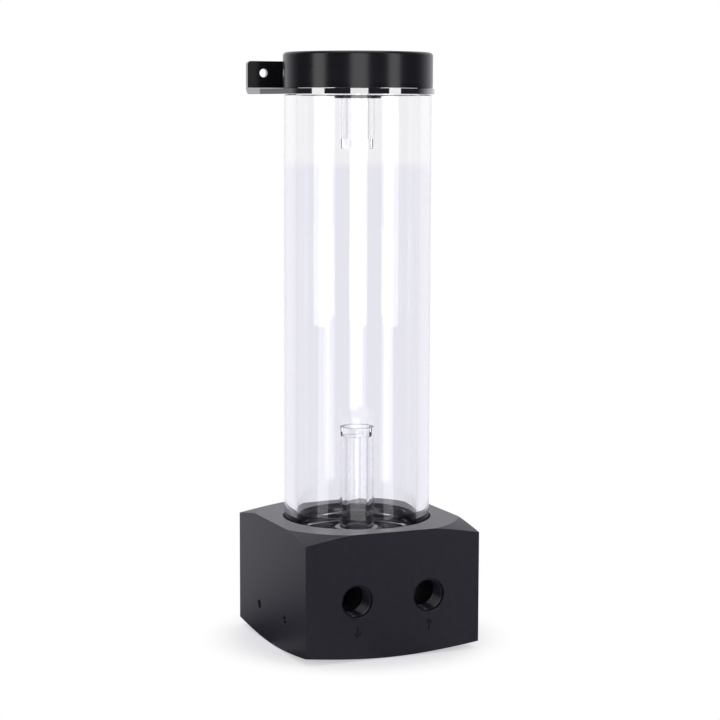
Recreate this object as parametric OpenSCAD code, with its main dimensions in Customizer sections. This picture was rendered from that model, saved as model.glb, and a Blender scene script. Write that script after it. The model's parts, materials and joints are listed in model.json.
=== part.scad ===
// Coolant pump reservoir. A square base holds a centrifugal pump in its underside.
// A clear tube screws into the base, and a screwed lid clamps a wall bracket on it.
// Millimetres, +Z up. The origin is the bottom centre of the base, ports towards -Y.

/* [Base] */
// Width and depth of the square base
base_w = 76; // [75:0.5:84]
// Radius at which the sloping corners start
corner_start_r = 42.2; // [40:0.1:45]
// Slope of the corners on top
corner_slope = 15; // [8:1:20]
// Radius at which the underside starts to slope up
foot_start_r = 36; // [35.6:0.1:40]
// Slope of the underside
foot_slope = 10; // [6:1:14]
// Depth of the rebate round the tube's foot
rebate_depth = 1.8; // [1:0.1:3]
// Gap between the tube and the wall of its rebate
rebate_gap = 0.7; // [0.4:0.1:1.2]

/* [Ports] */
// Distance of each port from the middle of the front face
port_x = 15.7; // [15:0.1:17]
// Major diameter of the G1/4 port threads
port_d = 13.16; // [12:0.01:13.5]
// Depth of the port threads
port_depth = 11; // [9:0.5:12]
// Chamfer at the mouth of each port
port_chamfer = 0.4; // [0.2:0.1:0.8]
// Diameter of the bore from the pump chamber to the outlet port
outlet_bore_d = 8; // [7:0.1:8]
// Diameter of the rising bore from the inlet port to the riser
feed_bore_d = 6; // [4:0.1:6]
// Height of the feed bore above the inlet port's axis
feed_rise = 3.6; // [3:0.1:3.6]
// Depth below the tank floor at which the feed bore meets the riser's axis
feed_end_drop = 4.5; // [4:0.1:5]

/* [Side holes] */
// Spacing of the two threaded holes in the left side
side_hole_spacing = 28.8; // [24:0.1:36]
// Height of the threaded side holes
side_hole_z = 13.8; // [8:0.1:14]
// Diameter of the threaded side holes
side_hole_d = 3.5; // [3:0.1:4.2]
// Depth of the threaded side holes
side_hole_depth = 5; // [4:0.1:5.5]

/* [Tube] */
// Outer diameter of the clear tube
tube_d = 60; // [59:0.1:60.5]
// Bore of the clear tube
tube_bore = 50; // [49.8:0.1:50.4]
// Length of the tube between its two shoulders
tube_len = 175.3; // [120:0.1:260]
// Diameter of the threaded ends of the tube
thread_d = 56; // [55.8:0.1:56.4]
// Length of the lower threaded end
foot_thread_len = 6.7; // [6:0.1:9]
// Length of the upper thread inside the lid
lid_thread_len = 6.4; // [5:0.1:7]

/* [Riser and drop tubes] */
// Outer diameter of the riser and drop tubes
riser_d = 14.2; // [14:0.1:15]
// Bore of the riser and drop tubes
riser_bore = 8.5; // [7:0.1:9]
// Length of the riser above its boss
riser_len = 42; // [20:1:80]
// Length of the drop tube below the lid's boss
drop_len = 20.2; // [10:0.1:60]
// Length of the threaded foot of both tubes
riser_thread_len = 6; // [4:0.1:7]
// Width across flats of the hexagon socket in their free ends
socket_af = 10; // [9.5:0.1:11]
// Depth of the hexagon socket in their free ends
socket_depth = 3.8; // [2:0.1:5]
// Diameter of the boss that carries the riser
boss_d = 19.5; // [18:0.1:21]
// Height of the riser boss above the tank floor
boss_rise = 4; // [2:0.1:6]
// Depth of the riser boss's straight wall below the tank floor
boss_drop = 8.5; // [8:0.1:9]
// Length of the pointed tip under the riser boss
boss_tip_len = 3.5; // [2.5:0.1:3.6]
// Depth of the riser's socket below the tank floor
riser_socket_drop = 7.5; // [7:0.1:8]

/* [Lid] */
// Diameter of the lid
lid_d = 61; // [60.6:0.1:62]
// Height of the lid
lid_h = 14.4; // [13.5:0.1:18]
// Rounding of the lid's top edge
lid_round = 1.5; // [0.5:0.1:2]
// Diameter of the boss under the lid
lid_boss_d = 19; // [18:0.1:21]
// Length of the boss under the lid
lid_boss_len = 10.7; // [9:0.1:14]
// Distance of the filling port from the lid's axis
fill_port_y = 18.3; // [18:0.1:18.5]

/* [Plugs] */
// Diameter of the plug heads
plug_head_d = 17.2; // [16.8:0.1:17.3]
// Height of the plug heads
plug_head_h = 2.2; // [1.8:0.1:2.6]
// Length of the plug threads
plug_thread_len = 4.6; // [3:0.1:4.8]
// Width across flats of the hexagon socket in the plugs
plug_af = 6; // [5:0.5:7]
// Depth of the hexagon socket in the plugs
plug_socket_depth = 4; // [3:0.1:5]

/* [Wall bracket] */
// Thickness of the bracket's sheet
sheet_t = 2.2; // [1.5:0.1:2.6]
// Radius of the bracket's ring
ring_r = 31.25; // [31:0.05:32.5]
// Width of the bracket's upright flange
flange_w = 70; // [66:1:74]
// Distance of the flange's rear face from the tube's axis
flange_y = 36.5; // [35.5:0.1:37.5]
// Height of the flange's top above the ring's underside
flange_h = 13.7; // [12:0.1:20]
// Inner radius of the bend
bend_r = 1; // [0.6:0.1:1.6]
// Rounding of the flange's corners
flange_corner = 1.5; // [1:0.1:3]
// Spacing of the bracket's two holes
flange_hole_spacing = 56; // [40:1:58]
// Diameter of the bracket's holes
flange_hole_d = 3.5; // [3:0.1:4.5]
// Height of the bracket's holes above the ring's underside
flange_hole_z = 8.8; // [7:0.1:9.5]

/* [Pump] */
// Recess of the pump's underside above the base's underside
foot_recess = 0.9; // [0.5:0.1:1.5]
// Width of the square pump case
case_w = 62; // [61:0.1:62.4]
// Height of the square pump case
case_h = 14.4; // [14.4:0.1:15]
// Corner radius of the pump case
case_corner = 4; // [2:0.5:5]
// Radius of the round collar on the pump case
collar_r = 25.8; // [25.5:0.1:26]
// Height of the round collar
collar_h = 5; // [5:0.1:5.6]
// Clearance round the pump case
case_gap = 0.3; // [0.2:0.05:0.4]
// Height of the pump chamber
chamber_h = 8; // [7.5:0.1:8.5]
// Radius of the chamber's spiral where it starts at the tongue
tongue_r = 16.5; // [16.2:0.1:17]
// Radius of the impeller's eye
eye_r = 7; // [6.5:0.1:7.5]
// Height of the suction funnel between the eye and the tank floor
funnel_h = 14.7; // [14.7:0.1:16]
// Radius of the funnel at the tank floor
funnel_r = 22; // [21:0.1:23]
// Width of the two webs that hold the riser boss
web_w = 10; // [8.6:0.1:12]
// Height of the webs' underside above the pump chamber
web_rise = 2.7; // [2:0.1:3.2]

/* [Impeller] */
// Radius of the impeller
impeller_r = 15.5; // [14.5:0.1:15.8]
// Axial clearance above and below the impeller
impeller_gap = 0.7; // [0.4:0.05:0.9]
// Number of blades
blade_count = 7; // [5:1:9]
// Thickness of a blade
blade_t = 1.2; // [0.8:0.1:1.6]
// Angle through which a blade trails from its root to its tip
blade_sweep = 55; // [30:5:70]
// Thickness of the impeller's disc
disc_t = 1.4; // [1:0.1:1.8]

/* [Motor] */
// Inner radius of the rotor cup
cup_r = 12.6; // [12.5:0.1:12.8]
// Depth of the rotor cup
cup_depth = 12.9; // [12.7:0.1:13.2]
// Thickness of the rotor cup's flange
cup_flange_t = 1.5; // [1:0.1:1.8]
// Wall of the rotor cup
cup_wall = 0.8; // [0.6:0.05:1]
// Radial gap between the magnet and the cup
magnet_gap = 0.5; // [0.3:0.05:0.7]
// Inner radius of the magnet ring
magnet_inner_r = 8; // [7:0.1:9]
// Radius of the shaft
shaft_r = 1.5; // [1.2:0.1:1.8]
// Outer radius of the bush
bush_r = 3.2; // [2.8:0.1:3.6]
// Running clearance of the bush on the shaft
bush_fit = 0.03; // [0.01:0.01:0.08]
// Number of stator teeth
tooth_count = 6; // [6:3:9]
// Width of a stator tooth
tooth_w = 4.4; // [3:0.1:4.6]
// Thickness of a coil's winding
coil_t = 1.4; // [0.8:0.1:1.5]
// Thickness of the circuit board
board_t = 1.6; // [1:0.1:1.6]
// Thickness of the pump cover
cover_t = 1.6; // [1.2:0.1:1.8]
// Radius of the pump cover
cover_r = 29; // [28.8:0.1:30]
// Radius of the circuit board's pocket
board_pocket_r = 25; // [24.5:0.1:25.2]
// Depth of the circuit board's pocket above the cover
board_pocket_h = 2.7; // [2.7:0.1:3]
// Height of the wiring space above the circuit board
wiring_h = 2.8; // [2.7:0.1:3]

/* [Fasteners and seals] */
// Thread diameter of the four pump screws
screw_d = 3; // [2.5:0.1:3.5]
// Distance of the pump screws from the sides of the pump case
screw_inset = 4.5; // [4:0.1:5]
// Length of the pump screws under the head
screw_len = 18; // [16:1:20]
// Thread diameter of the four cover screws
cover_screw_d = 2; // [1.6:0.1:2]
// Length of the cover screws above the cover
cover_screw_len = 5; // [4:0.5:7]
// Thickness of the large sealing rings
ring_seal_d = 1.8; // [1.6:0.05:1.9]
// Thickness of the plug sealing rings
plug_seal_d = 1.2; // [1:0.05:1.3]
// Diameter of the cable's hole in the grommet
cable_d = 4; // [3:0.1:4.4]

/* [Hidden] */
// Fineness of the round faces
$fn = 96;
// Overshoot of a cut past a face
eps = 0.5;
// Radial clearance of a screw thread
thread_fit = 0.03;
// Clearance between two faces that turn on each other
turn_gap = 0.2;
// Radial clearance of the lid's thread
lid_fit = 0.1;
// Clearance of a sealing ring in its groove
seal_gap = 0.1;
// Clearance round a piece that sits in a pocket
seat_gap = 0.1;
// Gap between two pieces that don't touch
part_gap = 0.3;

// Levels, from the underside up
case_z = foot_recess;
cover_top = case_z + cover_t;
shoulder_z = case_z + case_h;
collar_top = shoulder_z + collar_h;
chamber_top = collar_top + chamber_h;
floor_z = chamber_top + funnel_h;
tube_seat_z = floor_z + foot_thread_len;
base_h = tube_seat_z + rebate_depth;
boss_top = floor_z + boss_rise;
tube_top = tube_seat_z + tube_len;
bracket_z = tube_top + turn_gap;
lid_z = bracket_z + sheet_t + turn_gap;
tube_end = lid_z + lid_thread_len;
lid_ceiling = tube_end + turn_gap + seal_gap;
lid_top = lid_z + lid_h;
lid_boss_z = lid_ceiling - lid_boss_len;

// Ports and bores
port_z = collar_top + chamber_h / 2;
port_r = port_d / 2;
spiral_end_r = port_x + outlet_bore_d / 2;
tongue_angle = 180 + acos((port_x - outlet_bore_d / 2) / tongue_r);
spiral_steps = 42;
port_floor_y = -base_w / 2 + port_depth;
feed_r = feed_bore_d / 2;
feed_start = [port_x, port_floor_y - 1, port_z + feed_rise];
feed_end = [0, 0, floor_z - feed_end_drop];
feed_run = feed_end - feed_start;
feed_len = norm(feed_run);
feed_turn = atan2(feed_run[1], feed_run[0]);
feed_tilt = acos(feed_run[2] / feed_len);

// Riser boss and its socket
boss_r = boss_d / 2;
boss_wall_z = floor_z - boss_drop;
boss_tip_z = boss_wall_z - boss_tip_len;
boss_tip_r = 3;
boss_chamfer = 0.8;
socket_floor_z = floor_z - riser_socket_drop;

// Rings and grooves
collar_seal_share = 0.44;
plug_seal_margin = 1.12;
plug_seal_squeeze = 0.05;
ring_seal_r = ring_seal_d / 2;
groove_half = ring_seal_r + seal_gap;
end_seal_r = (tube_bore + thread_d) / 4;
collar_seal_r = collar_r + case_gap - seal_gap - ring_seal_r;
collar_seal_z = shoulder_z + collar_h * collar_seal_share;
plug_seal_r = plug_seal_d / 2;
plug_seal_ring_r = port_r + plug_seal_margin;
plug_groove_half = plug_seal_r + plug_seal_squeeze;
plug_groove_depth = plug_seal_d - turn_gap;
plug_well_r = plug_head_d / 2 + turn_gap;
plug_well_depth = plug_head_h + 2 * turn_gap;
plug_well_z = lid_top - plug_well_depth;
plug_head_z = plug_well_z + turn_gap;

// Pump case and motor
pocket_w = case_w + 2 * case_gap;
screw_xy = case_w / 2 - screw_inset;
board_r = board_pocket_r - part_gap;
board_z = cover_top + board_pocket_h - board_t;
board_rest_half = 0.8;
wiring_r = 23.6;
wiring_top = cover_top + board_pocket_h + wiring_h;
stator_bore_r = 21;
cup_flange_r = 22.6;
cup_outer_r = cup_r + cup_wall;
cup_floor_z = collar_top - cup_depth;
cup_pin_h = 1.2;
cup_base_t = 1.2;
shaft_z = cup_floor_z - cup_base_t / 2;
impeller_z = collar_top + impeller_gap;
blade_z = impeller_z + disc_t;
blade_top = chamber_top - impeller_gap;
blade_root_r = 6.2;
blade_steps = 7;
hub_r = magnet_inner_r - 0.05;
hub_z = cup_floor_z + cup_pin_h + part_gap;
nose_r = 4.6;
nose_h = 2.8;
shaft_top = blade_z + 1.2;
magnet_r = cup_r - magnet_gap;
magnet_z = hub_z + 0.5;
magnet_h = 9.2;
core_z = wiring_top + 0.8;
core_h = 8;
core_yoke = 2.6;
coil_end = 1.4;
tooth_tip = 1.2;
cover_screw_r = board_pocket_r + cover_screw_d * 0.8;
cover_head_h = 1;
head_r = screw_d * 0.92;
head_h = screw_d;
head_z = case_z + part_gap;
cable_z = wiring_top - 1.4;
notch_r = 4;
grommet_len = (base_w - pocket_w) / 2 - 2 * part_gap;
grommet_z = 0.5;
side_hole_chamfer = 0.3;

// Bracket
bracket_hole_r = thread_d / 2 + part_gap;
flange_run_y = 20;
bend_out_r = bend_r + sheet_t;

// ---- Shared shapes ----

// Square plate with rounded corners, standing on z = 0
module rounded_plate(w, corner, h) {
    inset = w / 2 - corner;
    centres = [[1, 1], [-1, 1], [-1, -1], [1, -1]];
    linear_extrude(h)
        polygon([
            for (i = [0:3])
                for (a = [0:15:90])
                    centres[i] * inset + corner * [cos(90 * i + a), sin(90 * i + a)]
        ]);
}

// Round sealing ring lying flat at height z
module seal_ring(ring_radius, section_radius, z) {
    translate([0, 0, z])
        rotate_extrude()
            translate([ring_radius, 0])
                circle(r = section_radius, $fn = 32);
}

// Flat groove for a sealing ring, from z up
module seal_groove(ring_radius, half_width, z, depth) {
    translate([0, 0, z])
        difference() {
            cylinder(r = ring_radius + half_width, h = depth);
            translate([0, 0, -eps])
                cylinder(r = ring_radius - half_width, h = depth + 2 * eps);
        }
}

// Hexagon prism given by its width across flats
module hex_prism(across_flats, h) {
    cylinder(d = across_flats / cos(30), h = h, $fn = 6);
}

// Four copies at the corners of a square pattern
module at_corners(offset_xy) {
    for (x = [-1, 1])
        for (y = [-1, 1])
            translate([x * offset_xy, y * offset_xy, 0])
                children();
}

// Four copies round the axis, between the middle planes
module round_cover(radius) {
    for (a = [45:90:315])
        rotate([0, 0, a])
            translate([radius, 0, 0])
                children();
}

// ---- Base ----

// Square block that slopes away outside a circle on top and a smaller one below
module base_blank() {
    reach = base_w / 2 * sqrt(2) + 1;
    drop = (reach - corner_start_r) * tan(corner_slope);
    rise = (reach - foot_start_r) * tan(foot_slope);
    intersection() {
        translate([-base_w / 2, -base_w / 2, 0])
            cube([base_w, base_w, base_h]);
        rotate_extrude($fn = 180)
            polygon([
                [0, 0],
                [foot_start_r, 0],
                [reach, rise],
                [reach, base_h - drop],
                [corner_start_r, base_h],
                [0, base_h]
            ]);
    }
}

// Pocket in the underside for the pump
module pump_pocket() {
    translate([0, 0, -eps])
        rounded_plate(pocket_w, case_corner + case_gap, shoulder_z + eps);
    cylinder(r = collar_r + case_gap, h = collar_top);
    at_corners(screw_xy)
        cylinder(r = screw_d / 2 + thread_fit, h = head_z + head_h + screw_len + 1);
}

// Spiral chamber that widens from the tongue round to the outlet bore
module spiral_chamber() {
    turn = 540 - tongue_angle;
    translate([0, 0, collar_top - eps])
        linear_extrude(chamber_h + eps)
            polygon([
                for (i = [0:spiral_steps])
                    let (
                        a = tongue_angle + turn * i / spiral_steps,
                        r = tongue_r + (spiral_end_r - tongue_r) * i / spiral_steps
                    )
                    r * [cos(a), sin(a)]
            ]);
}

// Suction funnel from the tank floor down to the impeller's eye
module suction_funnel() {
    translate([0, 0, chamber_top - eps])
        cylinder(r = eye_r, h = 2 * eps);
    translate([0, 0, chamber_top])
        cylinder(r1 = eye_r, r2 = funnel_r, h = funnel_h);
}

// Threaded socket, face seal groove and rebate for the tube's foot
module tube_socket() {
    translate([0, 0, floor_z])
        cylinder(d = thread_d + 2 * thread_fit, h = base_h);
    translate([0, 0, tube_seat_z])
        cylinder(r = tube_d / 2 + rebate_gap, h = base_h);
    seal_groove(end_seal_r, groove_half, floor_z - ring_seal_d, ring_seal_d + eps);
}

// Boss in the middle of the funnel, pointed downwards to guide the flow
module riser_boss() {
    rotate_extrude()
        polygon([
            [0, boss_tip_z],
            [boss_tip_r, boss_tip_z],
            [boss_r, boss_wall_z],
            [boss_r, boss_top - boss_chamfer],
            [boss_r - boss_chamfer, boss_top],
            [0, boss_top]
        ]);
}

// Two webs that hold the boss, one of them round the feed bore
module boss_webs() {
    web_z = chamber_top + web_rise;
    for (half_turn = [0, 180])
        rotate([0, 0, feed_turn + half_turn])
            translate([0, -web_w / 2, web_z])
                cube([funnel_r, web_w, floor_z - web_z]);
}

// Port in the front face, threaded, with a chamfered mouth
module port(x) {
    translate([x, -base_w / 2, port_z])
        rotate([-90, 0, 0]) {
            translate([0, 0, -eps])
                cylinder(r = port_r, h = port_depth + eps);
            translate([0, 0, -port_chamfer])
                cylinder(r1 = port_r + 2 * port_chamfer, r2 = port_r, h = 2 * port_chamfer);
        }
}

// Bore from the widest point of the spiral straight to the outlet port
module outlet_bore() {
    translate([-port_x, port_floor_y - 1, port_z])
        rotate([-90, 0, 0])
            cylinder(d = outlet_bore_d, h = 1 - port_floor_y);
}

// Rising bore from the inlet port to the chamber under the riser
module feed_bore() {
    translate(feed_start)
        rotate([0, feed_tilt, feed_turn])
            cylinder(r = feed_r, h = feed_len);
}

// Threaded blind hole in the left side
module side_hole(y) {
    translate([-base_w / 2, y, side_hole_z])
        rotate([0, 90, 0]) {
            translate([0, 0, -eps])
                cylinder(d = side_hole_d, h = side_hole_depth + eps);
            translate([0, 0, -side_hole_chamfer])
                cylinder(
                    d1 = side_hole_d + 4 * side_hole_chamfer,
                    d2 = side_hole_d,
                    h = 2 * side_hole_chamfer
                );
        }
}

// Notch in the rear wall for the cable's grommet, open downwards
module cable_notch(half_width, length, from_y, from_z) {
    translate([-half_width, from_y, from_z])
        cube([2 * half_width, length, cable_z - from_z]);
    translate([0, from_y, cable_z])
        rotate([-90, 0, 0])
            cylinder(r = half_width, h = length);
}

module base_block() {
    color("#242328")
        difference() {
            union() {
                difference() {
                    base_blank();
                    suction_funnel();
                }
                intersection() {
                    riser_boss();
                    cylinder(r = funnel_r, h = boss_top);
                }
                boss_webs();
            }
            pump_pocket();
            spiral_chamber();
            difference() {
                tube_socket();
                riser_boss();
            }
            outlet_bore();
            feed_bore();
            translate([0, 0, socket_floor_z])
                cylinder(r = port_r, h = base_h);
            port(-port_x);
            port(port_x);
            side_hole(-side_hole_spacing / 2);
            side_hole(side_hole_spacing / 2);
            cable_notch(notch_r, base_w, case_w / 2 - eps, -eps);
        }
}

// ---- Tank ----

module reservoir_tube() {
    color("#e8ecf2", 0.35)
        rotate_extrude()
            polygon([
                [tube_bore / 2, floor_z + seal_gap],
                [thread_d / 2, floor_z + seal_gap],
                [thread_d / 2, tube_seat_z],
                [tube_d / 2, tube_seat_z],
                [tube_d / 2, tube_top],
                [thread_d / 2, tube_top],
                [thread_d / 2, tube_end],
                [tube_bore / 2, tube_end]
            ]);
}

module tube_base_seal() {
    color("#151515")
        seal_ring(end_seal_r, ring_seal_r, floor_z - ring_seal_r + seal_gap / 2);
}

// Clear tube with a threaded foot at z = 0 and a free end at z = length
module clear_riser(length) {
    difference() {
        union() {
            cylinder(d = riser_d, h = length);
            translate([0, 0, -riser_thread_len])
                cylinder(r = port_r - thread_fit, h = riser_thread_len + eps);
        }
        translate([0, 0, -riser_thread_len - eps])
            cylinder(d = riser_bore, h = riser_thread_len + length + 2 * eps);
        translate([0, 0, length - socket_depth])
            hex_prism(socket_af, socket_depth + eps);
    }
}

module riser_tube() {
    color("#e8ecf2", 0.45)
        translate([0, 0, boss_top])
            clear_riser(riser_len);
}

module drop_tube() {
    color("#e8ecf2", 0.45)
        translate([0, 0, lid_boss_z])
            mirror([0, 0, 1])
                clear_riser(drop_len);
}

// ---- Lid, plugs and bracket ----

// Plug well, its seal groove and its threaded hole, sunk into the lid
module plug_port(y) {
    translate([0, y, 0]) {
        translate([0, 0, lid_boss_z - eps])
            cylinder(r = port_r, h = lid_h + lid_boss_len);
        translate([0, 0, plug_well_z])
            cylinder(r = plug_well_r, h = plug_well_depth + eps);
        seal_groove(
            plug_seal_ring_r,
            plug_groove_half,
            plug_well_z - plug_groove_depth,
            plug_groove_depth + eps
        );
    }
}

module lid() {
    color("#1c1b20")
        difference() {
            union() {
                rotate_extrude() {
                    translate([0, lid_z])
                        square([lid_d / 2, lid_h - lid_round]);
                    translate([0, lid_z])
                        square([lid_d / 2 - lid_round, lid_h]);
                    translate([lid_d / 2 - lid_round, lid_top - lid_round])
                        circle(r = lid_round, $fn = 48);
                }
                translate([0, 0, lid_boss_z])
                    cylinder(d = lid_boss_d, h = lid_boss_len);
            }
            difference() {
                translate([0, 0, lid_z - eps])
                    cylinder(r = thread_d / 2 + lid_fit, h = lid_ceiling - lid_z + eps);
                cylinder(d = lid_boss_d, h = lid_top);
            }
            seal_groove(end_seal_r, groove_half, lid_ceiling - eps, ring_seal_d - seal_gap + eps);
            plug_port(0);
            plug_port(-fill_port_y);
        }
}

module lid_seal() {
    color("#151515")
        seal_ring(end_seal_r, ring_seal_r, tube_end + ring_seal_r + seal_gap);
}

// Stop plug with a hexagon socket, at its own place on the lid
module plug(y) {
    translate([0, y, plug_head_z])
        difference() {
            union() {
                cylinder(d = plug_head_d, h = plug_head_h);
                translate([0, 0, -plug_thread_len])
                    cylinder(r = port_r - lid_fit, h = plug_thread_len + eps);
            }
            translate([0, 0, plug_head_h - plug_socket_depth])
                hex_prism(plug_af, plug_socket_depth + eps);
        }
}

module plug_ring(y) {
    translate([0, y, 0])
        seal_ring(plug_seal_ring_r, plug_seal_r - plug_seal_squeeze, plug_head_z - plug_seal_r);
}

module top_plug() {
    color("#1c1b20")
        plug(0);
}

module top_plug_seal() {
    color("#151515")
        plug_ring(0);
}

module fill_plug() {
    color("#1c1b20")
        plug(-fill_port_y);
}

module fill_plug_seal() {
    color("#151515")
        plug_ring(-fill_port_y);
}

// Outline of the bracket's flat part, from the ring to the bend
module bracket_outline(end_y) {
    reach = norm([flange_w / 2, flange_run_y]);
    touch = atan2(flange_run_y, flange_w / 2) - acos(ring_r / reach);
    touch_x = ring_r * cos(touch);
    touch_y = ring_r * sin(touch);
    circle(r = ring_r, $fn = 180);
    polygon([
        [-touch_x, touch_y],
        [touch_x, touch_y],
        [flange_w / 2, flange_run_y],
        [flange_w / 2, end_y],
        [-flange_w / 2, end_y],
        [-flange_w / 2, flange_run_y]
    ]);
}

// Upright flange with rounded top corners, standing on the bend
module flange_plate() {
    low = bend_out_r;
    rotate([90, 0, 0])
        linear_extrude(sheet_t)
            difference() {
                union() {
                    translate([-flange_w / 2, low])
                        square([flange_w, flange_h - low - flange_corner]);
                    translate([-flange_w / 2 + flange_corner, low])
                        square([flange_w - 2 * flange_corner, flange_h - low]);
                    for (side = [-1, 1])
                        translate([side * (flange_w / 2 - flange_corner), flange_h - flange_corner])
                            circle(r = flange_corner, $fn = 48);
                }
                for (side = [-1, 1])
                    translate([side * flange_hole_spacing / 2, flange_hole_z])
                        circle(d = flange_hole_d);
            }
}

// Quarter bend between the flat part and the upright flange
module flange_bend() {
    translate([flange_w / 2, flange_y - bend_out_r, bend_out_r])
        rotate([0, -90, 0])
            linear_extrude(flange_w)
                intersection() {
                    difference() {
                        circle(r = bend_out_r);
                        circle(r = bend_r);
                    }
                    translate([-bend_out_r, 0])
                        square(bend_out_r);
                }
}

module wall_bracket() {
    color("#17161a")
        translate([0, 0, bracket_z]) {
            difference() {
                linear_extrude(sheet_t)
                    bracket_outline(flange_y - bend_out_r);
                translate([0, 0, -eps])
                    cylinder(r = bracket_hole_r, h = sheet_t + 2 * eps);
            }
            flange_bend();
            translate([0, flange_y, 0])
                flange_plate();
        }
}

// ---- Pump case ----

module pump_case() {
    color("#2b2b2e")
        difference() {
            union() {
                translate([0, 0, case_z])
                    rounded_plate(case_w, case_corner, case_h);
                translate([0, 0, case_z])
                    cylinder(r = collar_r, h = collar_top - case_z);
            }
            translate([0, 0, case_z - eps])
                cylinder(r = cover_r + seat_gap, h = cover_t + eps);
            cylinder(r = board_pocket_r, h = cover_top + board_pocket_h);
            cylinder(r = wiring_r, h = wiring_top);
            cylinder(r = stator_bore_r, h = collar_top);
            translate([0, 0, collar_top - cup_flange_t])
                cylinder(r = cup_flange_r + seat_gap, h = cup_flange_t + eps);
            translate([0, 0, collar_seal_z - groove_half])
                difference() {
                    cylinder(r = collar_r + eps, h = 2 * groove_half);
                    translate([0, 0, -eps])
                        cylinder(
                            r = collar_seal_r - groove_half,
                            h = 2 * (groove_half + eps)
                        );
                }
            at_corners(screw_xy) {
                cylinder(r = head_r + seat_gap, h = head_z + head_h);
                cylinder(r = screw_d / 2 + seat_gap, h = collar_top);
            }
            round_cover(cover_screw_r)
                cylinder(d = cover_screw_d + 2 * thread_fit, h = cover_top + cover_screw_len + eps);
            translate([0, 0, cable_z])
                rotate([-90, 0, 0])
                    cylinder(d = cable_d, h = case_w);
        }
}

module pump_cover() {
    color("#2b2b2e")
        difference() {
            union() {
                translate([0, 0, case_z])
                    cylinder(r = cover_r, h = cover_t);
                translate([0, 0, case_z])
                    seal_groove(board_r - 1, board_rest_half, 0, board_z - case_z);
            }
            round_cover(cover_screw_r) {
                cylinder(d = cover_screw_d + 2 * seat_gap, h = cover_top + eps);
                translate([0, 0, case_z])
                    cylinder(
                        r1 = cover_screw_d / 2 + cover_head_h + seat_gap,
                        r2 = cover_screw_d / 2 + seat_gap,
                        h = cover_head_h
                    );
            }
        }
}

module cover_screws() {
    color("#8d8d92")
        round_cover(cover_screw_r)
            translate([0, 0, case_z])
                difference() {
                    union() {
                        cylinder(d = cover_screw_d, h = cover_t + cover_screw_len);
                        cylinder(
                            r1 = cover_screw_d / 2 + cover_head_h,
                            r2 = cover_screw_d / 2,
                            h = cover_head_h
                        );
                    }
                    translate([0, 0, -eps])
                        hex_prism(1.3, 1 + eps);
                }
}

module pump_screws() {
    color("#3a3a3e")
        at_corners(screw_xy)
            translate([0, 0, head_z])
                difference() {
                    union() {
                        cylinder(r = head_r, h = head_h);
                        cylinder(d = screw_d, h = head_h + screw_len);
                    }
                    translate([0, 0, -eps])
                        hex_prism(screw_d * 0.83, head_h / 2 + eps);
                }
}

module pump_seal() {
    color("#151515")
        seal_ring(collar_seal_r, ring_seal_r, collar_seal_z);
}

module cable_grommet() {
    color("#161616")
        difference() {
            cable_notch(notch_r - seat_gap, grommet_len, pocket_w / 2 + part_gap, grommet_z);
            translate([0, 0, cable_z])
                rotate([-90, 0, 0])
                    cylinder(d = cable_d, h = base_w);
        }
}

// ---- Motor ----

module circuit_board() {
    color("#1f5a38")
        translate([0, 0, board_z])
            cylinder(r = board_r, h = board_t);
}

module stator_core() {
    color("#777a80")
        translate([0, 0, core_z])
            difference() {
                union() {
                    difference() {
                        cylinder(r = stator_bore_r - seat_gap, h = core_h);
                        translate([0, 0, -eps])
                            cylinder(r = stator_bore_r - core_yoke, h = core_h + 2 * eps);
                    }
                    for (i = [0:tooth_count - 1])
                        rotate([0, 0, i * 360 / tooth_count])
                            translate([cup_outer_r, -tooth_w / 2, 0])
                                cube([stator_bore_r - core_yoke / 2 - cup_outer_r, tooth_w, core_h]);
                }
                translate([0, 0, -eps])
                    cylinder(r = cup_outer_r + part_gap, h = core_h + 2 * eps);
            }
}

// Winding round one tooth
module coil() {
    inner_w = tooth_w + 2 * seat_gap;
    outer_w = inner_w + 2 * coil_t;
    span = stator_bore_r - core_yoke - cup_outer_r - tooth_tip - 0.4;
    translate([cup_outer_r + tooth_tip, 0, core_z + core_h / 2])
        difference() {
            translate([0, -outer_w / 2, -core_h / 2 - coil_end])
                cube([span, outer_w, core_h + 2 * coil_end]);
            translate([-eps, -inner_w / 2, -core_h / 2 - seat_gap])
                cube([span + 2 * eps, inner_w, core_h + 2 * seat_gap]);
        }
}

module stator_coils() {
    color("#b8693a")
        for (i = [0:tooth_count - 1])
            rotate([0, 0, i * 360 / tooth_count])
                coil();
}

module rotor_cup() {
    pin_r = shaft_r + 1.5;
    color("#c9c9cc")
        difference() {
            rotate_extrude()
                polygon([
                    [0, cup_floor_z - cup_base_t],
                    [cup_outer_r, cup_floor_z - cup_base_t],
                    [cup_outer_r, collar_top - cup_flange_t],
                    [cup_flange_r, collar_top - cup_flange_t],
                    [cup_flange_r, collar_top],
                    [cup_r, collar_top],
                    [cup_r, cup_floor_z],
                    [pin_r, cup_floor_z],
                    [pin_r, cup_floor_z + cup_pin_h],
                    [0, cup_floor_z + cup_pin_h]
                ]);
            translate([0, 0, shaft_z])
                cylinder(r = shaft_r, h = collar_top);
        }
}

module rotor_shaft() {
    color("#d8d8da")
        translate([0, 0, shaft_z])
            cylinder(r = shaft_r, h = shaft_top - shaft_z);
}

module rotor_bush() {
    color("#3b3b3e")
        translate([0, 0, hub_z])
            difference() {
                cylinder(r = bush_r, h = blade_z - hub_z);
                translate([0, 0, -eps])
                    cylinder(r = shaft_r + bush_fit, h = blade_z - hub_z + 2 * eps);
            }
}

module rotor_magnet() {
    color("#4a4a50")
        translate([0, 0, magnet_z])
            difference() {
                cylinder(r = magnet_r, h = magnet_h);
                translate([0, 0, -eps])
                    cylinder(r = magnet_inner_r, h = magnet_h + 2 * eps);
            }
}

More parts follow.
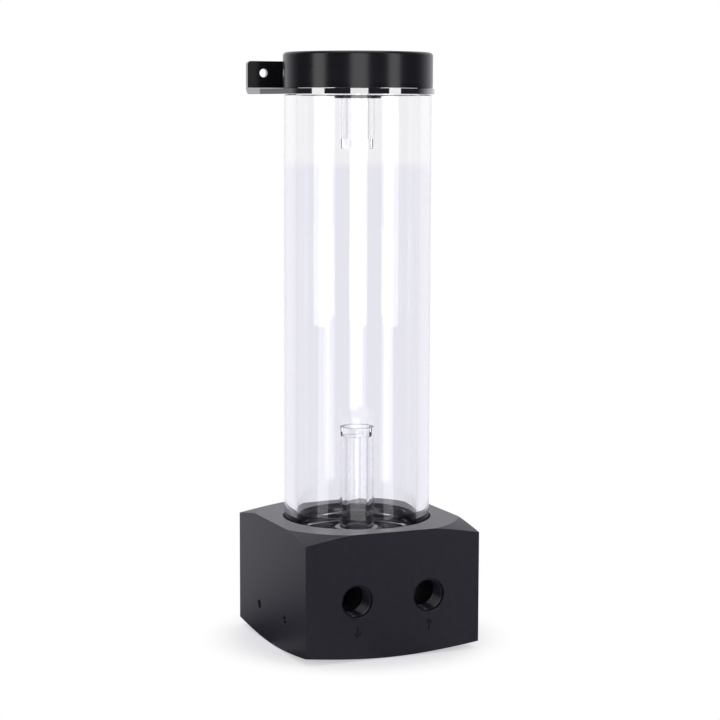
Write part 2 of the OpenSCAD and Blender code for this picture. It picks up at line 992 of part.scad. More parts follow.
// Point of a blade's mid line at a share s of its length, moved sideways by d
function blade_point(s, d) =
    let (
        r = blade_root_r + (impeller_r - 0.2 - blade_root_r) * s,
        a = -blade_sweep * s + d / r * 180 / PI
    )
    r * [cos(a), sin(a)];

// One backward curved blade
module blade() {
    translate([0, 0, blade_z - eps])
        linear_extrude(blade_top - blade_z + eps)
            polygon([
                for (i = [0:blade_steps])
                    blade_point(i / blade_steps, blade_t / 2),
                for (i = [blade_steps:-1:0])
                    blade_point(i / blade_steps, -blade_t / 2)
            ]);
}

module impeller() {
    color("#303036")
        difference() {
            union() {
                translate([0, 0, hub_z])
                    cylinder(r = hub_r, h = impeller_z - hub_z + eps);
                translate([0, 0, impeller_z])
                    cylinder(r = impeller_r, h = disc_t);
                translate([0, 0, blade_z])
                    cylinder(r1 = nose_r, r2 = nose_r - 1.4, h = nose_h);
                for (i = [0:blade_count - 1])
                    rotate([0, 0, i * 360 / blade_count])
                        blade();
            }
            translate([0, 0, hub_z - eps])
                cylinder(r = bush_r, h = blade_z - hub_z + eps);
            cylinder(r = shaft_r + part_gap, h = shaft_top + part_gap);
        }
}

base_block();
reservoir_tube();
tube_base_seal();
riser_tube();
drop_tube();
lid();
lid_seal();
wall_bracket();
top_plug();
top_plug_seal();
fill_plug();
fill_plug_seal();
pump_case();
pump_cover();
cover_screws();
circuit_board();
stator_core();
stator_coils();
rotor_cup();
rotor_shaft();
rotor_bush();
rotor_magnet();
impeller();
pump_seal();
pump_screws();
cable_grommet();
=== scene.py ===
"""Coolant pump reservoir: finishes, threads, flow marks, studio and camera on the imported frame."""
import json
import math

import bmesh
import bpy
from mathutils import Matrix, Vector


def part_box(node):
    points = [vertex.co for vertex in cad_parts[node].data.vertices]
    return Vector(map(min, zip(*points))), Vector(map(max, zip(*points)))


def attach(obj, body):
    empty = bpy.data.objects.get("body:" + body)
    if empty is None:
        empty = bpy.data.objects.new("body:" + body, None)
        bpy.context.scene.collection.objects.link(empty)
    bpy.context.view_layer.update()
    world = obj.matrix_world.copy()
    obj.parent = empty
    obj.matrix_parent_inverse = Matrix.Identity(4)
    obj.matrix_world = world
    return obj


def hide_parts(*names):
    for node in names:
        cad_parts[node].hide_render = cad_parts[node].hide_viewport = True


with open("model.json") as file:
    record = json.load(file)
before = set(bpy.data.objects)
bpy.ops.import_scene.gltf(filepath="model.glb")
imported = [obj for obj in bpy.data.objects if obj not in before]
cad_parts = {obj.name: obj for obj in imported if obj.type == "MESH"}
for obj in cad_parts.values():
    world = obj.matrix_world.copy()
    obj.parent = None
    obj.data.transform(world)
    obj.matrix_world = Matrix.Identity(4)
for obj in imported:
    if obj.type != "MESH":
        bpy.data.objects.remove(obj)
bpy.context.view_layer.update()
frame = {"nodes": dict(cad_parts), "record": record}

MM = 0.001
nodes = frame["nodes"]
mounts = {m["name"]: m for m in frame["record"]["mounts"]}


# ---------------------------------------------------------------- measures from the frame

BASE_LOW, BASE_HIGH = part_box("base_block")
TUBE_LOW, TUBE_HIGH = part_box("reservoir_tube")
RING_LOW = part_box("wall_bracket")[0]
TUBE_RADIUS = (TUBE_HIGH.x - TUBE_LOW.x) / 2


# ---------------------------------------------------------------- camera

CAMERA_YAW = math.radians(-23.23)
CAMERA_PITCH = math.radians(6.89)
CAMERA_ROLL = math.radians(0.17)
CAMERA_DISTANCE = 0.8531
CAMERA_AIM = (0.00119, 0.11643)  # across the view, and above the floor
CAMERA_LENS = 103.36
SENSOR_WIDTH = 36.0


def add_camera():
    """Camera a little above and to the left of the front, aimed at the middle of the tube."""
    cos_p = math.cos(CAMERA_PITCH)
    back = Vector((
        math.sin(CAMERA_YAW) * cos_p,
        -math.cos(CAMERA_YAW) * cos_p,
        math.sin(CAMERA_PITCH),
    ))
    right = Vector((math.cos(CAMERA_YAW), math.sin(CAMERA_YAW), 0.0))
    up = back.cross(right)
    aim = right * CAMERA_AIM[0] + Vector((0, 0, CAMERA_AIM[1]))
    turned_right = right * math.cos(CAMERA_ROLL) + up * math.sin(CAMERA_ROLL)
    turned_up = up * math.cos(CAMERA_ROLL) - right * math.sin(CAMERA_ROLL)
    data = bpy.data.cameras.new("camera")
    data.lens = CAMERA_LENS
    data.sensor_width = SENSOR_WIDTH
    data.clip_start = 0.05
    data.clip_end = 20.0
    camera = bpy.data.objects.new("camera", data)
    bpy.context.scene.collection.objects.link(camera)
    axes = Matrix((turned_right, turned_up, back)).transposed()
    camera.matrix_world = Matrix.Translation(aim + back * CAMERA_DISTANCE) @ axes.to_4x4()
    bpy.context.scene.camera = camera


# ---------------------------------------------------------------- node helpers

class Nodes:
    """Small helper that places and links the nodes of one tree."""

    def __init__(self, tree):
        self.tree = tree
        self.column = 0

    def add(self, kind, **values):
        node = self.tree.nodes.new(kind)
        node.location = (self.column, 0)
        self.column += 200
        for name, value in values.items():
            setattr(node, name, value)
        return node

    def link(self, source, target):
        self.tree.links.new(source, target)

    def math(self, operation, first, second=None, third=None):
        node = self.add("ShaderNodeMath", operation=operation)
        for socket, value in zip(node.inputs, (first, second, third)):
            if value is None:
                continue
            if isinstance(value, (int, float)):
                socket.default_value = value
            else:
                self.link(value, socket)
        return node.outputs[0]

    def ramp(self, value, low, high, out_low=0.0, out_high=1.0):
        node = self.add("ShaderNodeMapRange", interpolation_type="SMOOTHSTEP")
        self.link(value, node.inputs["Value"])
        node.inputs["From Min"].default_value = low
        node.inputs["From Max"].default_value = high
        node.inputs["To Min"].default_value = out_low
        node.inputs["To Max"].default_value = out_high
        return node.outputs["Result"]

    def colour_mix(self, factor, first, second):
        node = self.add("ShaderNodeMix", data_type="RGBA")
        colour_sockets = [s for s in node.inputs if s.type == "RGBA"]
        factor_socket = next(s for s in node.inputs if s.type == "VALUE")
        if isinstance(factor, (int, float)):
            factor_socket.default_value = factor
        else:
            self.link(factor, factor_socket)
        for socket, value in zip(colour_sockets, (first, second)):
            if isinstance(value, tuple):
                socket.default_value = (*value, 1.0)
            else:
                self.link(value, socket)
        return next(s for s in node.outputs if s.type == "RGBA")


def new_material(name):
    """Material with an empty tree, its output and one Principled shader."""
    material = bpy.data.materials.new(name)
    material.use_nodes = True
    material.node_tree.nodes.clear()
    nt = Nodes(material.node_tree)
    shader = nt.add("ShaderNodeBsdfPrincipled")
    output = nt.add("ShaderNodeOutputMaterial")
    nt.link(shader.outputs[0], output.inputs["Surface"])
    return material, nt, shader, output


def group_tree(name, inputs, outputs):
    """Empty shader node group with named sockets."""
    tree = bpy.data.node_groups.new(name, "ShaderNodeTree")
    for label, kind, value in inputs:
        socket = tree.interface.new_socket(label, in_out="INPUT", socket_type=kind)
        socket.default_value = value
    for label, kind in outputs:
        tree.interface.new_socket(label, in_out="OUTPUT", socket_type=kind)
    nt = Nodes(tree)
    return nt, nt.add("NodeGroupInput"), nt.add("NodeGroupOutput")


def object_point(nt):
    """The object's own coordinates, in metres."""
    return nt.add("ShaderNodeTexCoord").outputs["Object"]


def scaled_point(nt, point, scale):
    node = nt.add("ShaderNodeMapping")
    node.inputs["Scale"].default_value = scale
    nt.link(point, node.inputs["Vector"])
    return node.outputs["Vector"]


# ---------------------------------------------------------------- shared effects

def make_grain_group():
    """Fine surface grain: stretched noise as a height and as a roughness shift."""
    nt, given, out = group_tree(
        "surface_grain",
        [
            ("Point", "NodeSocketVector", (0, 0, 0)),
            ("Scale", "NodeSocketFloat", 1.0),
            ("Roughness", "NodeSocketFloat", 0.5),
            ("Variation", "NodeSocketFloat", 0.1),
        ],
        [("Height", "NodeSocketFloat"), ("Roughness", "NodeSocketFloat"), ("Mask", "NodeSocketFloat")],
    )
    fine = nt.add("ShaderNodeTexNoise")
    coarse = nt.add("ShaderNodeTexNoise")
    for texture, factor, detail in ((fine, 1.0, 6.0), (coarse, 0.06, 3.0)):
        nt.link(given.outputs["Point"], texture.inputs["Vector"])
        nt.link(nt.math("MULTIPLY", given.outputs["Scale"], factor), texture.inputs["Scale"])
        texture.inputs["Detail"].default_value = detail
    shift = nt.math("SUBTRACT", coarse.outputs["Fac"], 0.5)
    spread = nt.math("MULTIPLY", shift, given.outputs["Variation"])
    nt.link(fine.outputs["Fac"], out.inputs["Height"])
    nt.link(nt.math("ADD", given.outputs["Roughness"], spread), out.inputs["Roughness"])
    nt.link(coarse.outputs["Fac"], out.inputs["Mask"])
    return nt.tree


GRAIN = make_grain_group()


def add_grain(nt, shader, stretch, scale, roughness, variation, depth):
    """Feeds a shader's roughness and normal from the grain group."""
    group = nt.add("ShaderNodeGroup", node_tree=GRAIN)
    nt.link(scaled_point(nt, object_point(nt), stretch), group.inputs["Point"])
    group.inputs["Scale"].default_value = scale
    group.inputs["Roughness"].default_value = roughness
    group.inputs["Variation"].default_value = variation
    nt.link(group.outputs["Roughness"], shader.inputs["Roughness"])
    bump = nt.add("ShaderNodeBump")
    bump.inputs["Strength"].default_value = 1.0
    bump.inputs["Distance"].default_value = depth
    nt.link(group.outputs["Height"], bump.inputs["Height"])
    nt.link(bump.outputs["Normal"], shader.inputs["Normal"])
    return group


def plain_finish(name, dark, light, roughness, metallic=0.0, specular=0.5, scale=2500.0,
                 stretch=(1, 1, 1), variation=0.15, depth=0.00001, ior=1.5):
    """A finish whose colour drifts between two tones over a fine grain."""
    material, nt, shader, _ = new_material(name)
    shader.inputs["Metallic"].default_value = metallic
    shader.inputs["Specular IOR Level"].default_value = specular
    shader.inputs["IOR"].default_value = ior
    group = add_grain(nt, shader, stretch, scale, roughness, variation, depth)
    tone = nt.ramp(group.outputs["Mask"], 0.35, 0.65)
    nt.link(nt.colour_mix(tone, dark, light), shader.inputs["Base Color"])
    return material


# ---------------------------------------------------------------- materials

MARK_HEIGHT = 12.2 * MM
MARK_SIZE = 4.8 * MM
MARK_LINE = 0.34 * MM
MARK_WING_LINE = 1.4  # slanted line against the stem's
MARK_WING_REACH = 0.62  # of the arrow's half height
MARK_COLOUR = (0.004, 0.004, 0.005)
MARK_ROUGHNESS = 0.75
FACE_SKIN = 0.05 * MM  # what still counts as an outer face
PORT_START = 0.3 * MM
PORT_DEPTH = 12.0 * MM
PORT_WALL = 0.1 * MM
# near-black colour of the painted shade inside the ports
PORT_SHADE_COLOUR = (0.002, 0.002, 0.0025)
SOCKET_POLISH = 0.33  # taken off the roughness
TOP_POLISH = 0.1


def make_arrow_group():
    """Mask of a small engraved flow arrow round a centre on the front face."""
    nt, given, out = group_tree(
        "flow_arrow",
        [
            ("Point", "NodeSocketVector", (0, 0, 0)),
            ("Across", "NodeSocketFloat", 0.0),
            ("Direction", "NodeSocketFloat", 1.0),
        ],
        [("Mask", "NodeSocketFloat")],
    )
    split = nt.add("ShaderNodeSeparateXYZ")
    nt.link(given.outputs["Point"], split.inputs[0])
    x = nt.math("ABSOLUTE", nt.math("SUBTRACT", split.outputs["X"], given.outputs["Across"]))
    rise = nt.math("SUBTRACT", split.outputs["Z"], MARK_HEIGHT)
    z = nt.math("MULTIPLY", rise, given.outputs["Direction"])
    half = MARK_SIZE / 2
    in_height = nt.math("LESS_THAN", nt.math("ABSOLUTE", z), half)
    stem = nt.math("MULTIPLY", nt.math("LESS_THAN", x, MARK_LINE), in_height)
    slope = nt.math("ADD", z, x)
    off_slope = nt.math("ABSOLUTE", nt.math("SUBTRACT", slope, half - MARK_LINE))
    head = nt.math("LESS_THAN", off_slope, MARK_LINE * MARK_WING_LINE)
    wings = nt.math("MULTIPLY", head, nt.math("LESS_THAN", x, half * MARK_WING_REACH))
    front = nt.math("LESS_THAN", split.outputs["Y"], BASE_LOW.y + FACE_SKIN)
    nt.link(nt.math("MULTIPLY", nt.math("MAXIMUM", stem, wings), front), out.inputs["Mask"])
    return nt.tree


ARROW = make_arrow_group()


def engrave_arrows(material):
    """Cuts the two flow arrows into the finish: away from the outlet, towards the inlet."""
    nt = Nodes(material.node_tree)
    shader = next(n for n in nt.tree.nodes if n.type == "BSDF_PRINCIPLED")
    masks = []
    for label, direction in (("port_out", -1.0), ("port_in", 1.0)):
        group = nt.add("ShaderNodeGroup", node_tree=ARROW)
        nt.link(object_point(nt), group.inputs["Point"])
        group.inputs["Across"].default_value = mounts[label]["pos_m"][0]
        group.inputs["Direction"].default_value = direction
        masks.append(group.outputs["Mask"])
    mask = nt.math("MAXIMUM", *masks)
    before = shader.inputs["Base Color"].links[0].from_socket
    nt.link(nt.colour_mix(mask, before, MARK_COLOUR), shader.inputs["Base Color"])
    rough = shader.inputs["Roughness"].links[0].from_socket
    nt.link(nt.math("MAXIMUM", rough, nt.math("MULTIPLY", mask, MARK_ROUGHNESS)), shader.inputs["Roughness"])


TUBE_PITCH = 2.0 * MM
TUBE_RIDGE = 0.9 * MM
SOCKET_DEPTH = 12.0 * MM
SOCKET_RADIUS = TUBE_RADIUS - 1.7 * MM


def cut_surfaces(material):
    """Socket of the tube cut with a thread, ports darkened inside with painted shade, top face finer than
    the sides.
    """
    nt = Nodes(material.node_tree)
    shader = next(n for n in nt.tree.nodes if n.type == "BSDF_PRINCIPLED")
    point = object_point(nt)
    split = nt.add("ShaderNodeSeparateXYZ")
    nt.link(point, split.inputs[0])
    across = nt.add("ShaderNodeCombineXYZ")
    nt.link(split.outputs["X"], across.inputs["X"])
    nt.link(split.outputs["Y"], across.inputs["Y"])
    radius = nt.add("ShaderNodeVectorMath", operation="LENGTH")
    nt.link(across.outputs[0], radius.inputs[0])
    height = split.outputs["Z"]
    inside = nt.math("LESS_THAN", radius.outputs["Value"], SOCKET_RADIUS)
    above = nt.math("GREATER_THAN", height, BASE_HIGH.z - SOCKET_DEPTH)
    socket = nt.math("MULTIPLY", inside, above)
    wave = nt.math("PINGPONG", nt.math("DIVIDE", height, TUBE_PITCH), 0.5)
    bump = nt.add("ShaderNodeBump")
    bump.inputs["Strength"].default_value = 1.0
    bump.inputs["Distance"].default_value = TUBE_RIDGE
    nt.link(nt.math("MULTIPLY", wave, socket), bump.inputs["Height"])
    nt.link(shader.inputs["Normal"].links[0].from_socket, bump.inputs["Normal"])
    nt.link(bump.outputs["Normal"], shader.inputs["Normal"])
    top = nt.math("GREATER_THAN", height, BASE_HIGH.z - FACE_SKIN)
    polish = nt.math("MULTIPLY", socket, SOCKET_POLISH)
    smoother = nt.math("MULTIPLY_ADD", top, TOP_POLISH, polish)
    rough = shader.inputs["Roughness"].links[0].from_socket
    nt.link(nt.math("SUBTRACT", rough, smoother), shader.inputs["Roughness"])
    port_height = mounts["port_out"]["pos_m"][2]
    drop = nt.math("SUBTRACT", height, port_height)
    holes = []
    for label in ("port_out", "port_in"):
        aside = nt.math("SUBTRACT", split.outputs["X"], mounts[label]["pos_m"][0])
        square = nt.math("MULTIPLY_ADD", aside, aside, nt.math("MULTIPLY", drop, drop))
        reach = mounts[label]["dims"]["r_mm"] * MM + PORT_WALL
        holes.append(nt.math("LESS_THAN", square, reach * reach))
    behind = nt.math("GREATER_THAN", split.outputs["Y"], BASE_LOW.y + PORT_START)
    before_end = nt.math("LESS_THAN", split.outputs["Y"], BASE_LOW.y + PORT_DEPTH)
    along = nt.math("MULTIPLY", behind, before_end)
    # painted shade: the port bores get a near-black colour that stands in for the shade deep inside them
    painted_port_shade = nt.math("MULTIPLY", nt.math("MAXIMUM", *holes), along)
    before = shader.inputs["Base Color"].links[0].from_socket
    nt.link(nt.colour_mix(painted_port_shade, before, PORT_SHADE_COLOUR), shader.inputs["Base Color"])


def make_acetal(name, roughness, specular=0.24):
    """Black acetal of the base, fine milled outside and glossier where it is cut."""
    return plain_finish(
        name, (0.0135, 0.0128, 0.021), (0.015, 0.0142, 0.023),
        roughness=roughness, specular=specular, scale=5200.0, variation=0.03, depth=0.000003,
    )


def make_lid_black():
    """Satin turned black of the lid and plugs, its grain drawn round the axis."""
    return plain_finish(
        "satin_black", (0.0065, 0.0062, 0.0085), (0.0085, 0.008, 0.0105),
        roughness=0.2, specular=0.26, scale=420.0, stretch=(0.35, 0.35, 9.0),
        variation=0.12, depth=0.0000035,
    )


def make_gloss_black():
    """Gloss black coating of the wall bracket."""
    material = plain_finish(
        "gloss_black_sheet", (0.006, 0.006, 0.007), (0.008, 0.008, 0.0095),
        roughness=0.06, specular=0.9, scale=900.0, variation=0.05, depth=0.000002, ior=1.8,
    )
    shader = next(n for n in material.node_tree.nodes if n.type == "BSDF_PRINCIPLED")
    shader.inputs["Coat Weight"].default_value = 1.0
    shader.inputs["Coat Roughness"].default_value = 0.02
    shader.inputs["Coat IOR"].default_value = 1.9
    return material


def make_rubber():
    return plain_finish(
        "seal_rubber", (0.012, 0.012, 0.012), (0.02, 0.02, 0.02),
        roughness=0.62, scale=1800.0, depth=0.00001,
    )


def make_case_plastic():
    return plain_finish(
        "case_plastic", (0.02, 0.02, 0.022), (0.03, 0.03, 0.032),
        roughness=0.5, scale=2600.0, depth=0.00002,
    )


def make_steel(name, dark, light, roughness):
    return plain_finish(name, dark, light, roughness, metallic=1.0, scale=1500.0, depth=0.000005)


def make_acrylic(name, tint):
    """Polished clear acrylic that lets the lamps' light through."""
    material, nt, shader, output = new_material(name)
    shader.inputs["Base Color"].default_value = (*tint, 1.0)
    shader.inputs["Roughness"].default_value = 0.0
    shader.inputs["IOR"].default_value = 1.49
    shader.inputs["Transmission Weight"].default_value = 1.0
    clear = nt.add("ShaderNodeBsdfTransparent")
    path = nt.add("ShaderNodeLightPath")
    mix = nt.add("ShaderNodeMixShader")
    through = nt.math("MAXIMUM", path.outputs["Is Shadow Ray"], path.outputs["Is Diffuse Ray"])
    nt.link(nt.math("MULTIPLY", through, 0.92), mix.inputs["Fac"])
    nt.link(shader.outputs[0], mix.inputs[1])
    nt.link(clear.outputs[0], mix.inputs[2])
    nt.link(mix.outputs[0], output.inputs["Surface"])
    return material


# ---------------------------------------------------------------- bmesh helpers

AXIS_Z = Vector((0, 0, 1))


def finish_piece(name, bm, material, body, replaces=(), smooth_angle=32.0):
    """Turns a bmesh into a piece that rides on a CAD body."""
    bmesh.ops.remove_doubles(bm, verts=bm.verts, dist=1e-7)
    bmesh.ops.recalc_face_normals(bm, faces=bm.faces)
    mesh = bpy.data.meshes.new(name)
    bm.to_mesh(mesh)
    bm.free()
    piece = bpy.data.objects.new(name, mesh)
    bpy.context.scene.collection.objects.link(piece)
    mesh.materials.append(material)
    mesh.shade_smooth()
    mesh.set_sharp_from_angle(angle=math.radians(smooth_angle))
    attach(piece, body)
    if replaces:
        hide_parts(*replaces)
    return piece


def revolve(bm, outline, steps, centre=(0, 0)):
    """Spins a closed outline of (radius, height) points round a vertical axis."""
    verts = [bm.verts.new((centre[0] + r, centre[1], z)) for r, z in outline]
    edges = [bm.edges.new((verts[i], verts[(i + 1) % len(verts)])) for i in range(len(verts))]
    bmesh.ops.spin(
        bm, geom=verts + edges, cent=(*centre, 0), axis=AXIS_Z,
        angle=2 * math.pi, steps=steps, use_merge=True,
    )


# ---------------------------------------------------------------- clear tubes

TUBE_STEPS = 192
TUBE_WALL = 5.0 * MM
NECK_STEP = 2.0 * MM
TUBE_SOFTENING = 0.3 * MM
NECK_CHAMFER = 0.4 * MM


def thread_points(radius, low, high, pitch, depth):
    """Ridges of a thread seen from the side, from low to high on one radius."""
    count = int((high - low) / pitch)
    points = []
    for i in range(count):
        z = low + (i + 0.2) * pitch
        crest = (radius, z + pitch * 0.35)
        points += [(radius - depth, z), crest, (radius - depth, z + pitch * 0.7)]
    return points


def add_reservoir_tube(material):
    """Clear tube with softened shoulders and ridged ends."""
    low, high = TUBE_LOW.z, TUBE_HIGH.z
    outer = TUBE_RADIUS
    seat = BASE_HIGH.z - 1.8 * MM
    top = RING_LOW.z - 0.2 * MM
    bore = outer - TUBE_WALL
    neck = outer - NECK_STEP
    bm = bmesh.new()
    outline = [(bore, low), (neck - NECK_CHAMFER, low)]
    outline += thread_points(neck, low + 0.8 * MM, seat - 0.6 * MM, TUBE_PITCH, TUBE_RIDGE)
    outline += [(neck, seat), (outer - TUBE_SOFTENING, seat), (outer, seat + TUBE_SOFTENING)]
    outline += [(outer, top - TUBE_SOFTENING), (outer - TUBE_SOFTENING, top), (neck, top)]
    outline += thread_points(neck, top + 2.8 * MM, high - 0.8 * MM, TUBE_PITCH, TUBE_RIDGE)
    outline += [(neck - NECK_CHAMFER, high), (bore, high)]
    revolve(bm, outline, TUBE_STEPS)
    return finish_piece(
        "clear_reservoir_tube", bm, material, "reservoir", ("reservoir_tube",)
    )


# ---------------------------------------------------------------- threads

THREAD_STEPS = 40


def add_thread(name, material, mouth, inward, radius, pitch, depth, start, length):
    """Ridge of an internal thread: a small tooth wound round the axis of a hole."""
    side = AXIS_Z.cross(inward).normalized()
    first = mouth + inward * start
    bm = bmesh.new()
    outline = (
        (radius + 0.02 * MM, 0.06), (radius - depth, 0.40),
        (radius - depth, 0.56), (radius + 0.02 * MM, 0.90),
    )
    verts = [bm.verts.new(first + side * r + inward * (t * pitch)) for r, t in outline]
    face = bm.faces.new(verts)
    turns = length / pitch - 1
    steps = int(turns * THREAD_STEPS)
    bmesh.ops.spin(
        bm, geom=[face, *face.edges, *verts], cent=mouth, axis=inward,
        dvec=inward * (pitch / THREAD_STEPS), angle=math.tau * steps / THREAD_STEPS, steps=steps,
    )
    return finish_piece(name, bm, material, "reservoir", smooth_angle=25.0)


def add_port_threads(material):
    """Threads of the two ports in the front face."""
    for label in ("port_out", "port_in"):
        place = Vector(mounts[label]["pos_m"])
        mouth = Vector((place.x, BASE_LOW.y, place.z))
        add_thread(
            label + "_thread", material, mouth, Vector((0, 1, 0)),
            mounts[label]["dims"]["r_mm"] * MM, 1.337 * MM, 0.72 * MM, 0.7 * MM, 9.6 * MM,
        )


def add_side_threads(material):
    """Threads of the two small holes in the left face."""
    holes = mounts["side_holes"]
    place = Vector(holes["pos_m"])
    for label, side in (("front", -1), ("rear", 1)):
        y = side * holes["dims"]["spacing_x_mm"] * MM / 2
        add_thread(
            "side_thread_" + label, material,
            Vector((BASE_LOW.x, place.y + y, place.z)), Vector((1, 0, 0)),
            holes["dims"]["hole_r_mm"] * MM, 0.7 * MM, 0.3 * MM, 0.35 * MM, 4.2 * MM,
        )


# ---------------------------------------------------------------- studio

VIEW_AZIMUTH = math.degrees(CAMERA_YAW)
PANELS = ((-71.0, -50.0), (-10.6, 15.2), (47.0, 66.0))  # degrees round from the camera
PANEL_DISTANCE = 1.2
PANEL_LIGHT = (3.6, 3.4, 3.6)


def lamp(name, place, aim, size, radiance):
    """Soft box of a given radiance, turned towards a point."""
    data = bpy.data.lights.new(name, "AREA")
    data.shape = "RECTANGLE"
    data.size, data.size_y = size
    data.energy = radiance * math.pi * size[0] * size[1]
    box = bpy.data.objects.new(name, data)
    bpy.context.scene.collection.objects.link(box)
    box.location = place
    box.rotation_euler = (Vector(aim) - Vector(place)).to_track_quat("-Z", "Y").to_euler()


def add_studio():
    """Three tall soft boxes in front and a broad one overhead."""
    for name, (start, end), light in zip(("left", "front", "right"), PANELS, PANEL_LIGHT):
        middle = math.radians(VIEW_AZIMUTH + (start + end) / 2)
        width = 2 * PANEL_DISTANCE * math.tan(math.radians(end - start) / 2)
        place = (math.sin(middle) * PANEL_DISTANCE, -math.cos(middle) * PANEL_DISTANCE, 0.56)
        lamp("softbox_" + name, place, (0, 0, 0.56), (width, 1.1), light)
    lamp("softbox_top", (0, -0.1, 1.5), (0, 0, 0), (1.1, 1.1), 2.2)


def view_angle(nt, vector):
    """Angle of a level direction round from the camera's side, and how far behind it lies."""
    towards = Vector((math.sin(CAMERA_YAW), -math.cos(CAMERA_YAW), 0))
    right = Vector((math.cos(CAMERA_YAW), math.sin(CAMERA_YAW), 0))
    level = nt.add("ShaderNodeVectorMath", operation="MULTIPLY")
    nt.link(vector, level.inputs[0])
    level.inputs[1].default_value = (1, 1, 0)
    unit = nt.add("ShaderNodeVectorMath", operation="NORMALIZE")
    nt.link(level.outputs[0], unit.inputs[0])
    parts = []
    for axis in (towards, right):
        along = nt.add("ShaderNodeVectorMath", operation="DOT_PRODUCT")
        nt.link(unit.outputs[0], along.inputs[0])
        along.inputs[1].default_value = axis
        parts.append(along.outputs["Value"])
    angle = nt.math("ARCTAN2", parts[1], parts[0])
    return angle, nt.math("MULTIPLY", parts[0], -1.0)


GLOSS_FRONT = (0.035, 0.034, 0.04)
GLOSS_BACK = (0.95, 0.94, 1.0)
GLASS_FRONT = (0.3, 0.295, 0.34)
GLASS_BACK = (1.0, 1.0, 1.0)
GLASS_TABLE = (0.91, 0.905, 0.965)
GLOSS_TURN = (0.15, 0.8)
GLASS_TURN = (-0.1, 0.75)
TABLE_EDGE = -0.026


def reflected_room(nt, behind, path, back):
    """Room that gloss and glass see: dark in front of the object, pale behind it."""
    gloss = nt.colour_mix(nt.ramp(behind, *GLOSS_TURN), GLOSS_FRONT, GLOSS_BACK)
    glass = nt.colour_mix(nt.ramp(behind, *GLASS_TURN), GLASS_FRONT, back)
    return nt.colour_mix(path.outputs["Is Transmission Ray"], gloss, glass)


def add_world():
    """White for the camera, and the room for everything else."""
    world = bpy.data.worlds.new("studio_room")
    bpy.context.scene.world = world
    world.use_nodes = True
    world.node_tree.nodes.clear()
    nt = Nodes(world.node_tree)
    path = nt.add("ShaderNodeLightPath")
    direction = nt.add("ShaderNodeTexCoord").outputs["Generated"]
    _, behind = view_angle(nt, direction)
    split = nt.add("ShaderNodeSeparateXYZ")
    nt.link(direction, split.inputs[0])
    above = nt.ramp(split.outputs["Z"], TABLE_EDGE - 0.003, TABLE_EDGE + 0.003)
    room = reflected_room(nt, behind, path, nt.colour_mix(above, GLASS_TABLE, GLASS_BACK))
    shown = nt.colour_mix(path.outputs["Is Camera Ray"], room, (1.0, 1.0, 1.0))
    background = nt.add("ShaderNodeBackground")
    nt.link(shown, background.inputs["Color"])
    output = nt.add("ShaderNodeOutputWorld")
    nt.link(background.outputs[0], output.inputs["Surface"])


FLOOR_RADIUS = 3.0
FLOOR_FADE = (0.041, 0.068)
FLOOR_PANEL = 2.6
GLOSS_SHARE = 0.2


def floor_panels(nt, angle):
    """Mirrored strips of the soft boxes on the floor, as gloss and glass see them."""
    total = None
    for start, end in PANELS:
        rise = nt.ramp(angle, math.radians(start - 0.6), math.radians(start + 0.6))
        fall = nt.ramp(angle, math.radians(end - 0.6), math.radians(end + 0.6), 1.0, 0.0)
        strip = nt.math("MULTIPLY", rise, fall)
        total = strip if total is None else nt.math("ADD", total, strip)
    return total


def add_floor():
    """Plain white floor that keeps the shadow near the object and fades to white."""
    bm = bmesh.new()
    bmesh.ops.create_circle(bm, cap_ends=True, segments=96, radius=FLOOR_RADIUS)
    mesh = bpy.data.meshes.new("studio_floor")
    bm.to_mesh(mesh)
    bm.free()
    floor = bpy.data.objects.new("studio_floor", mesh)
    bpy.context.scene.collection.objects.link(floor)
    material = bpy.data.materials.new("white_floor")
    material.use_nodes = True
    material.node_tree.nodes.clear()
    nt = Nodes(material.node_tree)
    point = object_point(nt)
    reach = nt.add("ShaderNodeVectorMath", operation="LENGTH")
    nt.link(point, reach.inputs[0])
    fade = nt.ramp(reach.outputs["Value"], *FLOOR_FADE, 0.5, 1.0)
    lit = nt.add("ShaderNodeBsdfDiffuse")
    lit.inputs["Color"].default_value = (0.86, 0.85, 0.9, 1.0)
    glow = nt.add("ShaderNodeEmission")
    glow.inputs["Color"].default_value = (1.0, 1.0, 1.0, 1.0)
    seen = nt.add("ShaderNodeMixShader")
    nt.link(fade, seen.inputs["Fac"])
    nt.link(lit.outputs[0], seen.inputs[1])
    nt.link(glow.outputs[0], seen.inputs[2])
    path = nt.add("ShaderNodeLightPath")
    angle, behind = view_angle(nt, point)
    room = reflected_room(nt, behind, path, GLASS_TABLE)
    share = nt.math("MAXIMUM", path.outputs["Is Transmission Ray"], GLOSS_SHARE)
    strips = nt.math("MULTIPLY", floor_panels(nt, angle), share)
    mirrored = nt.add("ShaderNodeEmission")
    nt.link(nt.colour_mix(strips, room, (1.0, 1.0, 1.0)), mirrored.inputs["Color"])
    nt.link(nt.math("MULTIPLY_ADD", strips, FLOOR_PANEL - 1.0, 1.0), mirrored.inputs["Strength"])
    ray = nt.math("MAXIMUM", path.outputs["Is Glossy Ray"], path.outputs["Is Transmission Ray"])
    choice = nt.add("ShaderNodeMixShader")
    nt.link(ray, choice.inputs["Fac"])
    nt.link(seen.outputs[0], choice.inputs[1])
    nt.link(mirrored.outputs[0], choice.inputs[2])
    output = nt.add("ShaderNodeOutputMaterial")
    nt.link(choice.outputs[0], output.inputs["Surface"])
    mesh.materials.append(material)


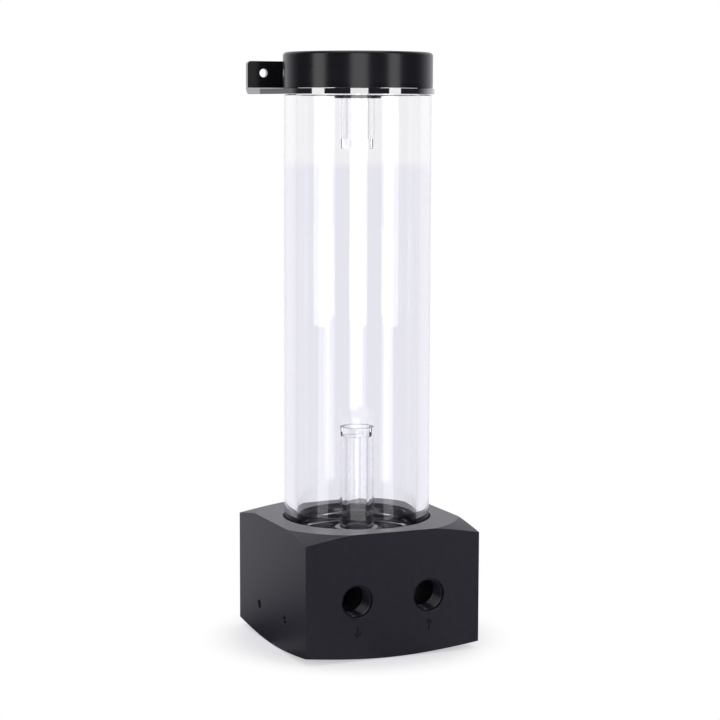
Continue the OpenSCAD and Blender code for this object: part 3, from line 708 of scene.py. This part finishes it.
def set_view():
    """Plain colour management."""
    settings = bpy.context.scene.view_settings
    settings.view_transform = "Standard"


# ---------------------------------------------------------------- dressing the nodes

def dress(names, material):
    for name in names:
        mesh = nodes[name].data
        mesh.materials.clear()
        mesh.materials.append(material)


def main():
    add_camera()
    set_view()
    add_world()
    add_floor()
    add_studio()
    acetal = make_acetal("black_acetal", 0.4)
    thread_acetal = make_acetal("cut_acetal", 0.16, 0.12)
    cut_surfaces(acetal)
    engrave_arrows(acetal)
    satin = make_lid_black()
    gloss = make_gloss_black()
    rubber = make_rubber()
    plastic = make_case_plastic()
    steel = make_steel("drawn_steel", (0.5, 0.5, 0.51), (0.6, 0.6, 0.61), 0.3)
    zinc = make_steel("zinc_steel", (0.42, 0.42, 0.44), (0.52, 0.52, 0.54), 0.36)
    copper = make_steel("enamelled_copper", (0.45, 0.17, 0.07), (0.6, 0.26, 0.12), 0.35)
    blackened = make_steel("blackened_steel", (0.04, 0.04, 0.045), (0.06, 0.06, 0.065), 0.4)
    magnet = make_steel("sintered_magnet", (0.07, 0.07, 0.075), (0.1, 0.1, 0.105), 0.5)
    board = plain_finish("board_laminate", (0.01, 0.06, 0.03), (0.015, 0.09, 0.04), 0.35)
    tube_glass = make_acrylic("clear_acrylic", (0.985, 0.985, 0.995))
    dress(["base_block"], acetal)
    dress(["lid", "top_plug", "fill_plug"], satin)
    dress(["wall_bracket"], gloss)
    dress(
        ["tube_base_seal", "lid_seal", "top_plug_seal", "fill_plug_seal", "pump_seal", "cable_grommet"],
        rubber,
    )
    dress(["pump_case", "pump_cover", "impeller", "rotor_bush"], plastic)
    dress(["rotor_cup", "rotor_shaft", "stator_core"], steel)
    dress(["cover_screws"], zinc)
    dress(["pump_screws"], blackened)
    dress(["stator_coils"], copper)
    dress(["rotor_magnet"], magnet)
    dress(["circuit_board"], board)
    dress(["riser_tube", "drop_tube"], tube_glass)
    add_reservoir_tube(tube_glass)
    add_port_threads(thread_acetal)
    add_side_threads(thread_acetal)


main()
